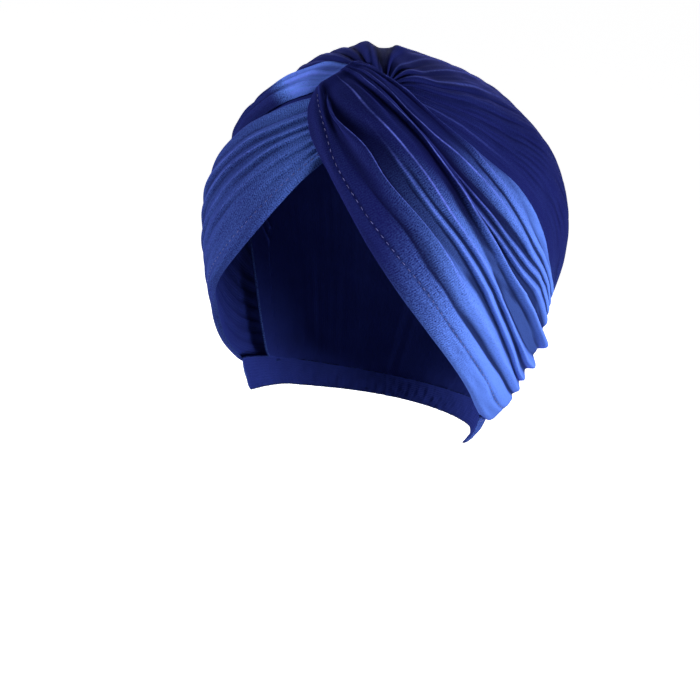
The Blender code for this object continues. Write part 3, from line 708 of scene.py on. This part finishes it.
def make_crown(velvet, backing):
    """The cap over the top and back, pleated from the gather to the nape."""
    along, across = grid(150, 290)

    def start(share):
        turn = np.radians(GATHER_TURN) * (share - 0.5)
        lon = GATHER[0] - GATHER_SPREAD * np.sin(turn) / np.cos(np.radians(GATHER[1]))
        return (lon, GATHER[1] + GATHER_SPREAD * np.cos(turn))

    lay = Lay(CROWN, along, start)
    jitter = sum(np.sin(2 * np.pi * (rate * across + phase)) * size
                 for rate, phase, size in ((2.3, 0.1, 0.01), (5.1, 0.6, 0.006), (8.7, 0.3, 0.004)))
    turns = (across + jitter)[None, :] * CROWN_PLEATS + 0.25 * np.sin(2.2 * along)[:, None]
    share = turns % 1.0
    strength = 0.7 + 0.3 * np.sin(7.3 * np.floor(turns) + 1.0)
    ridge = np.sin(np.pi * share ** 0.75) ** 0.75 * strength
    fine = 0.25 * np.sin(np.pi * ((turns * 2 + 0.3) % 1.0)) * fade(along, 0.15, 0.4)[:, None]
    loose = fade(across, *CROWN_LOOSE_LEFT) * (1 - fade(across, *CROWN_LOOSE_RIGHT))
    grown = fade(along, 0.0, 0.06)[:, None] * (1 - CROWN_CALM * fade(along, 0.16, 0.42))[:, None]
    grown = grown + 0.35 * fade(along, 0.7, 0.98)[:, None]
    pleats = CROWN_PLEAT_DEPTH * MM * (ridge + fine) * grown * loose[None, :]
    uneven = waves(along, across, 14, (0.2, 0.06)) * 0.25 * MM * loose[None, :]
    lobes = sum(size * MM * np.exp(-((across - place) / LOBE_WIDTH) ** 2) for place, size in LOBES)
    puff = np.outer(fade(along, 0.02, 0.09) * (1 - fade(along, 0.14, 0.24)), lobes)
    notch_line = NOTCH + 0.15 * (along[:, None] - 0.12)
    notch = np.exp(-((across[None, :] - notch_line) / NOTCH_WIDTH) ** 2)
    notch = notch * (1 - fade(along, 0.3, 0.42))[:, None]
    flat = np.outer(fade(along, 0.06, 0.12) * (1 - fade(along, 0.45, 0.6)),
                    np.exp(-((across - 0.43) / 0.085) ** 2))
    calm = 1 - 0.85 * flat
    side_puff = np.outer(fade(along, 0.26, 0.42) * (1 - fade(along, 0.55, 0.85)),
                         np.sin(np.pi * across) ** 0.5)
    side_puff *= 0.35 + 0.65 * (1 - fade(across, 0.28, 0.4))[None, :]
    height = UNDER_LAYER + pleats * calm + puff + uneven * fade(along, 0.05, 0.2)[:, None]
    height += CROWN_PUFF * side_puff - 0.0009 * flat
    height += (NOTCH_FLOOR - height) * notch
    seam = 0.45 + 0.55 * rolled((1 - along)[:, None] * CROWN_LENGTH, 0.004)
    height = EASE + VELVET * 0.7 + (height - EASE - VELVET * 0.7) * seam
    inside = np.minimum(height - VELVET, UNDER_LAYER - VELVET + INSIDE_SHARE * (height - UNDER_LAYER))
    inside = np.maximum(inside, EASE * 0.5)
    # How the pile lies, with painted shade over the crown that eases towards the nape
    lie_and_light = 0.03 + 0.22 * np.outer(fade(along, 0.6, 0.95), np.ones(len(across)))
    # A painted highlight along each pleat ridge
    ridge_sheen = np.exp(-((share - 0.4) / 0.06) ** 2) * strength * grown * loose[None, :]
    ridge_sheen = ridge_sheen * (1 - 0.6 * fade(along, 0.12, 0.4))[:, None] * fade(strength, 0.5, 0.9)
    ridge_sheen = ridge_sheen * (1 - 0.7 * fade(across, 0.6, 0.7))[None, :]
    # Painted shade in the hollows, less in the notch
    shade = shade_in_hollows(height) * (0.3 + 0.6 * fade(along, 0.15, 0.35))[:, None] * (1 - 0.8 * notch)
    # A painted highlight in the notch
    sheen_in_notch = 0.5 * notch * fade(along, 0.03, 0.08)[:, None]
    pile_and_light = np.stack([lie_and_light, np.maximum(0.6 * ridge_sheen, sheen_in_notch), shade], -1)
    mesh, _, _ = wall("crown", lay, along, across, height, None, inside, pile_and_light)
    return piece("crown_velvet", mesh, velvet, backing)


def make_hem(name, folds, span, lift, velvet, backing):
    """The turned-in hem that lies under the front edge of a wrap."""
    rows = 150
    along = np.linspace(*span, rows)
    lay = Lay(folds, along)
    ways, _ = lay.read(np.broadcast_to(np.array([0.0, HEM_TOWARDS]), (rows, 2)))
    edge, further = head_point(ways[:, 0]), head_point(ways[:, 1])
    towards = unit(further - edge)
    offsets = np.linspace(0.0012, 0.0012 + HEM_WIDTH, 12)
    strip = np.stack([edge + towards * offset for offset in offsets], 1)
    ways = unit(strip - CENTRE)
    skin, normal = head_point(ways), head_normal(ways)
    height = (UNDER_LAYER - 0.0002 + side_lift(along, lift))[:, None, None]
    outer = skin + normal * height
    inner = skin + normal * (height - VELVET)
    return piece(name, ring_shell(name, outer, inner), velvet, backing)


def make_nape_band(velvet, backing):
    """The hemmed band that draws the turban in round the nape."""
    columns = 16
    rows = 260
    lon = np.linspace(NAPE_START, 360 - NAPE_START, rows)
    top = head_point(direction(np.stack([lon, np.full(rows, NAPE_LATITUDE)], -1)))
    flare = 1 - fade(np.minimum(np.arange(rows), np.arange(rows)[::-1]) / rows, 0.0, 0.16)
    drops = np.linspace(0.0004, BUTT_GAP + NAPE_HEIGHT, columns)
    lower = np.outer(1 + 0.2 * flare, (0, 0, 1))
    ways = unit(np.stack([top - lower * drop for drop in drops], 1) - CENTRE)
    skin, normal = head_point(ways), head_normal(ways)
    shares = np.linspace(0, 1, columns)
    along = np.linspace(0, 1, rows)
    ripple = waves(along, shares, 15, (0.018, 1.2), 14)
    bulge = np.sin(np.pi * shares) ** 0.6
    height = UNDER_LAYER - 0.0004 + (0.0009 * bulge[None, :]) + 0.0004 * ripple * bulge[None, :]
    height += BAND_FLARE * flare[:, None]
    outer = skin + normal * height[..., None]
    inner = skin + normal * np.maximum(height - VELVET, EASE * 0.5)[..., None]
    # Painted shade in the ripples of the band
    pile_and_light = np.stack([np.full(height.shape, 0.28), np.zeros(height.shape), shade_in_hollows(height)], -1)
    seams = [row_on(outer, normal, np.full(rows, share), 0.01, 0.99) for share in (0.14, 0.86)]
    return piece("nape_band_velvet", ring_shell("nape_band", outer, inner, pile_and_light), velvet, backing), seams


def plug(tree, socket, value):
    """Joins a socket to another node's output, or gives it a value."""
    if isinstance(value, bpy.types.NodeSocket):
        tree.links.new(value, socket)
    else:
        socket.default_value = value


def add_node(tree, kind, links=(), **settings):
    node = tree.nodes.new(kind)
    for key, value in settings.items():
        setattr(node, key, value)
    for socket, value in links:
        plug(tree, node.inputs[socket], value)
    return node


def make_stitch_tree(thread):
    """The tree that sews small stitches along the rows of a path, each laid on the cloth."""
    tree = bpy.data.node_groups.new("sewn_row", "GeometryNodeTree")
    for name, kind, value in STITCH_INPUTS:
        socket = tree.interface.new_socket(name, in_out="INPUT", socket_type=kind)
        if value is not None:
            socket.default_value = value
    tree.interface.new_socket("Geometry", in_out="OUTPUT", socket_type="NodeSocketGeometry")

    def add(kind, links=(), **settings):
        return add_node(tree, kind, links, **settings).outputs

    given = add("NodeGroupInput")
    row = add("GeometryNodeMeshToCurve", [("Mesh", given["Geometry"])])[0]
    row = add("GeometryNodeResampleCurve", [("Curve", row), ("Length", given["Pitch"])], mode="LENGTH")[0]
    outward = add("GeometryNodeInputNamedAttribute", [("Name", "outward")], data_type="FLOAT_VECTOR")[0]
    tangent = add("GeometryNodeInputTangent")[0]
    turn = add("FunctionNodeAxesToRotation", [(0, outward), (1, tangent)],
               primary_axis="Z", secondary_axis="X")
    lean = add("FunctionNodeRandomValue", [("Min", (-0.05, -0.05, -0.14)), ("Max", (0.05, 0.05, 0.14)),
                                           ("Seed", given["Seed"])], data_type="FLOAT_VECTOR")[0]
    turned = add("FunctionNodeRotateRotation", [(0, turn[0]), (1, lean)], rotation_space="LOCAL")[0]
    ball = add("GeometryNodeMeshUVSphere", [("Segments", 8), ("Rings", 5), ("Radius", 0.5)])[0]
    size = add("ShaderNodeCombineXYZ", [("X", given["Stitch length"]), ("Y", given["Thread width"]),
                                        ("Z", given["Thread width"])])[0]
    stitch = add("GeometryNodeTransform", [("Geometry", ball), ("Scale", size)])[0]
    sewn = add("GeometryNodeInstanceOnPoints", [("Points", row), ("Instance", stitch),
                                                ("Rotation", turned)])[0]
    solid = add("GeometryNodeRealizeInstances", [("Geometry", sewn)])[0]
    done = add("GeometryNodeSetMaterial", [("Geometry", solid), ("Material", thread)])[0]
    tree.links.new(done, add_node(tree, "NodeGroupOutput").inputs[0])
    return tree


def sew(name, tree, rows, sewing, seed):
    """A plain mesh of the stitches along rows of (points, outward directions)."""
    points = np.concatenate([row[0] for row in rows])
    outward = np.concatenate([row[1] for row in rows])
    edges, start = [], 0
    for row, _ in rows:
        edges += [(start + step, start + step + 1) for step in range(len(row) - 1)]
        start += len(row)
    mesh = bpy.data.meshes.new(name + "_path")
    mesh.from_pydata(points.tolist(), edges, [])
    layer = mesh.attributes.new("outward", "FLOAT_VECTOR", "POINT")
    layer.data.foreach_set("vector", outward.astype(np.float32).ravel())
    holder = new_object(name + "_path", mesh)
    modifier = holder.modifiers.new("sewing", "NODES")
    modifier.node_group = tree
    values = dict(zip(("Stitch length", "Pitch", "Thread width"), sewing), Seed=seed)
    for item in tree.interface.items_tree:
        if item.in_out == "INPUT" and item.name in values:
            modifier[item.identifier] = values[item.name]
    ready = holder.evaluated_get(bpy.context.evaluated_depsgraph_get())
    sewn = bpy.data.meshes.new_from_object(ready)
    sewn.name = name
    bpy.data.objects.remove(holder)
    bpy.data.meshes.remove(mesh)
    sewn.shade_smooth()
    return new_object(name, sewn)


def row_on(outer, normal, places, first, last):
    """A row of stitches over a table of points, at a share across for each share along."""
    shares = np.linspace(0, 1, outer.shape[1])
    keep = range(int(first * (len(outer) - 1)), int(last * (len(outer) - 1)) + 1)
    pick = [np.array([np.interp(places[row], shares, table[row, :, axis]) for axis in range(3)])
            for row in keep for table in (outer, normal)]
    points, ways = np.array(pick[0::2]), unit(np.array(pick[1::2]))
    return points + ways * STITCH_LIFT, ways


class Nodes:
    """Short ways to add and join the nodes of one material."""

    def __init__(self, name):
        self.material = bpy.data.materials.new(name)
        self.material.use_nodes = True
        self.tree = self.material.node_tree
        self.shader = self.tree.nodes["Principled BSDF"]

    def add(self, kind, links=(), **settings):
        return add_node(self.tree, kind, links, **settings).outputs

    def maths(self, operation, first, second=None, clamp=False):
        links = [(0, first)] + ([] if second is None else [(1, second)])
        return self.add("ShaderNodeMath", links, operation=operation, use_clamp=clamp)[0]

    def blend(self, share, first, second):
        return self.add("ShaderNodeMix", ((0, share), (6, first), (7, second)), data_type="RGBA")[2]

    def noise(self, place, scale, detail):
        links = [("Vector", place), ("Scale", scale), ("Detail", detail)]
        return self.add("ShaderNodeTexNoise", links)[0]

    def emboss(self, height, strength, distance):
        links = [("Height", height), ("Strength", strength), ("Distance", distance)]
        plug(self.tree, self.shader.inputs["Normal"], self.add("ShaderNodeBump", links)[0])

    def finished(self, **values):
        """The material, once its shader has these values; a _ stands for a space."""
        for socket, value in values.items():
            plug(self.tree, self.shader.inputs[socket.replace("_", " ")], value)
        return self.material


def make_velvet(name, sheen):
    """Short-pile stretch velvet: dark where the pile faces out and where shade is painted, with a painted
    highlight on the ridges and painted shade in the creases.
    """
    nodes = Nodes(name)
    pile_and_light = nodes.add("ShaderNodeAttribute", attribute_name="pile_and_light")["Color"]
    parts = nodes.add("ShaderNodeSeparateColor", [(0, pile_and_light)])
    cloth = nodes.add("ShaderNodeUVMap", uv_map="cloth")[0]
    stretched = nodes.add("ShaderNodeMapping", [(0, cloth), ("Scale", (6, 1, 1))])[0]
    streaks = nodes.noise(stretched, 30, 4)
    grain = nodes.noise(cloth, 1600, 2)
    clumps = nodes.noise(cloth, 650, 4)
    ribs = nodes.add("ShaderNodeTexWave",
                     [("Vector", cloth), ("Scale", 290), ("Distortion", 2.5), ("Detail", 1)],
                     wave_type="BANDS", bands_direction="Y")[1]
    lie_and_light = parts[0]
    # The pattern shows most where the pile is half turned
    turning = nodes.maths("MULTIPLY", lie_and_light, nodes.maths("SUBTRACT", 1.35, lie_and_light))
    pattern = 0.0
    for part, strength in ((streaks, 0.9), (clumps, 1.0), (grain, 4.4), (ribs, 0.45)):
        shown = nodes.maths("MULTIPLY", nodes.maths("SUBTRACT", part, 0.5), strength)
        pattern = nodes.maths("ADD", pattern, shown)
    lie_and_light = nodes.maths("ADD", lie_and_light, nodes.maths("MULTIPLY", pattern, turning), clamp=True)
    # Dark to bright by how the pile lies and by the painted light and shade
    colour = nodes.blend(lie_and_light, DEEP, BRIGHT)
    # A painted highlight on the ridges, broken up by the clumps
    ridge = nodes.maths("MULTIPLY", parts[1], nodes.maths("MULTIPLY", clumps, 1.5), clamp=True)
    colour = nodes.blend(ridge, colour, HIGHLIGHT_COLOUR)
    # Painted shade in the creases
    colour = nodes.blend(nodes.maths("MULTIPLY", parts[2], 0.9, clamp=True), colour, CREASE_SHADE_COLOUR)
    rough = nodes.maths("ADD", nodes.maths("MULTIPLY", grain, 0.7), nodes.maths("MULTIPLY", ribs, 0.3))
    nodes.emboss(rough, 0.5, 0.0002)
    return nodes.finished(Base_Color=colour, Roughness=0.8, Specular_IOR_Level=0.02, Sheen_Weight=sheen,
                          Sheen_Roughness=0.3, Sheen_Tint=SHEEN)


def make_backing(name):
    """The knitted back of the velvet, dull and even."""
    nodes = Nodes(name)
    cloth = nodes.add("ShaderNodeUVMap", uv_map="cloth")[0]
    patches = nodes.noise(cloth, 60, 4)
    colour = nodes.blend(patches, (0.01, 0.016, 0.11, 1), (0.018, 0.03, 0.19, 1))
    ribs = nodes.add("ShaderNodeTexWave", [("Vector", cloth), ("Scale", 260), ("Distortion", 0.6)],
                     wave_type="BANDS", bands_direction="X")[1]
    nodes.emboss(ribs, 0.35, 0.0003)
    return nodes.finished(Base_Color=colour, Roughness=0.9, Specular_IOR_Level=0.02, Sheen_Weight=0.15,
                          Sheen_Tint=SHEEN)


def make_thread(name):
    """The twisted polyester thread of the seams, paler than the velvet."""
    nodes = Nodes(name)
    place = nodes.add("ShaderNodeTexCoord")["Object"]
    shade = nodes.noise(place, 400, 2)
    colour = nodes.blend(shade, (0.01, 0.012, 0.1, 1), (0.085, 0.095, 0.38, 1))
    twist = nodes.add("ShaderNodeTexWave", [("Vector", place), ("Scale", 900)], bands_direction="DIAGONAL")[1]
    nodes.emboss(twist, 0.4, 0.0001)
    return nodes.finished(Base_Color=colour, Roughness=0.55, Sheen_Weight=0.2)


def make_sky(scene):
    """A pale room, bright near the floor and dim overhead."""
    world = bpy.data.worlds.new("studio")
    scene.world = world
    world.use_nodes = True
    tree = world.node_tree
    background = tree.nodes["Background"]
    place = tree.nodes.new("ShaderNodeTexCoord")
    split = tree.nodes.new("ShaderNodeSeparateXYZ")
    ramp = tree.nodes.new("ShaderNodeValToRGB")
    tree.links.new(place.outputs["Generated"], split.inputs[0])
    tree.links.new(split.outputs["Z"], ramp.inputs[0])
    for stop, (position, colour) in zip(ramp.color_ramp.elements, SKY):
        stop.position = position
        stop.color = colour
    tree.links.new(ramp.outputs[0], background.inputs["Color"])
    background.inputs["Strength"].default_value = 0.3


def make_floor():
    mesh = bpy.data.meshes.new("floor")
    corners = [(x * FLOOR_REACH, y * FLOOR_REACH, FLOOR_HEIGHT)
               for x, y in ((-1, -1), (1, -1), (1, 1), (-1, 1))]
    mesh.from_pydata(corners, [], [(0, 1, 2, 3)])
    floor = new_object("floor", mesh)
    mesh.materials.append(Nodes("floor_paint").finished(
        Base_Color=(0.85, 0.85, 0.85, 1), Roughness=0.9, Emission_Color=(1, 1, 1, 1), Emission_Strength=0.95))
    floor.visible_diffuse = False
    floor.visible_glossy = False


# A soft light: its bearing and height in degrees, its distance, its side and its power
Lamp = namedtuple("Lamp", "bearing height distance side power")
LAMPS = (
    Lamp(80, 0, 1.3, 0.6, 32),
    Lamp(-55, 0, 1.3, 0.6, 24),
    Lamp(20, -25, 1.5, 0.9, 6),
    Lamp(205, 20, 1.5, 1.2, 9),
)


def make_lamps():
    for number, lamp in enumerate(LAMPS):
        light = bpy.data.lights.new("soft_light_%d" % number, "AREA")
        light.size = lamp.side
        light.energy = lamp.power
        holder = new_object(light.name, light)
        way = Vector(direction((lamp.bearing, lamp.height)).tolist())
        holder.location = way * lamp.distance
        holder.rotation_euler = way.to_track_quat("Z", "Y").to_euler()


def make_camera(scene):
    """The camera at the photo's angle, turned to put the turban high in the frame."""
    azimuth, elevation, roll = np.radians(CAMERA_ANGLES)
    level = np.cos(elevation)
    back = Vector((np.sin(azimuth) * level, -np.cos(azimuth) * level, np.sin(elevation)))
    right = Vector((np.cos(azimuth), np.sin(azimuth), 0))
    up = back.cross(right)
    level_right = right * np.cos(roll) + up * np.sin(roll)
    level_up = up * np.cos(roll) - right * np.sin(roll)
    target = Vector(CENTRE)
    place = target + back * CAMERA_DISTANCE
    look_at = target - level_right * CAMERA_AIM[0] - level_up * CAMERA_AIM[1]
    away = (place - look_at).normalized()
    camera = bpy.data.cameras.new("camera")
    camera.sensor_width = 36
    camera.lens = CAMERA_LENS
    holder = new_object("camera", camera)
    side = level_up.cross(away).normalized()
    turned = Matrix((side, away.cross(side), away)).transposed().to_4x4()
    turned.translation = place
    holder.matrix_world = turned
    scene.camera = holder


def make_studio():
    """The pale floor, the soft lights and the camera."""
    scene = bpy.context.scene
    scene.view_settings.view_transform = "Standard"
    make_sky(scene)
    make_floor()
    make_lamps()
    make_camera(scene)


def main():
    make_studio()
    velvet = make_velvet("royal_velvet", sheen=0.35)
    # A shaded copy of the velvet, with less sheen, for the crown
    shaded_velvet = make_velvet("royal_velvet_shaded", sheen=0.18)
    backing = make_backing("knit_backing")
    left, left_seams = make_wrap_left(velvet, backing)
    right, right_seams = make_wrap_right(velvet, backing)
    strap = make_strap(velvet, backing)
    crown = make_crown(shaded_velvet, backing)
    hem_left = make_hem("hem_left_velvet", WRAP_LEFT, HEM_LEFT_SPAN, LEFT_LIFT, velvet, backing)
    hem_right = make_hem("hem_right_velvet", WRAP_RIGHT, HEM_RIGHT_SPAN, RIGHT_LIFT, velvet, backing)
    band, band_seams = make_nape_band(velvet, backing)
    sewing = make_stitch_tree(make_thread("lilac_thread"))
    left_stitches = sew("wrap_left_stitches", sewing, left_seams, LEFT_SEWING, seed=3)
    right_stitches = sew("wrap_right_stitches", sewing, right_seams, RIGHT_SEWING, seed=5)
    band_stitches = sew("nape_band_stitches", sewing, band_seams, BAND_SEWING, seed=7)
    cloths = (
        (left, "wrap_left", (0.140, 0.235), 0.0205, "gathered", [left_stitches]),
        (right, "wrap_right", (0.120, 0.215), 0.0170, "gathered", [right_stitches]),
        (strap, "twist_strap", (0.022, 0.175), None, "folded", []),
        (crown, "crown", (0.300, 0.250), 0.062, "gathered", []),
        (hem_left, "hem_left", (0.011, 0.150), None, "folded", []),
        (hem_right, "hem_right", (0.011, 0.165), None, "folded", []),
        (band, "nape_band", (0.020, 0.205), None, "gathered", [band_stitches]),
    )
    for thing, node, flat, area, held, sewn_on in cloths:
        for extra in sewn_on:
            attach(extra, "root")
        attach(thing, "root")
        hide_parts(node)
        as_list(sewn_on)


main()
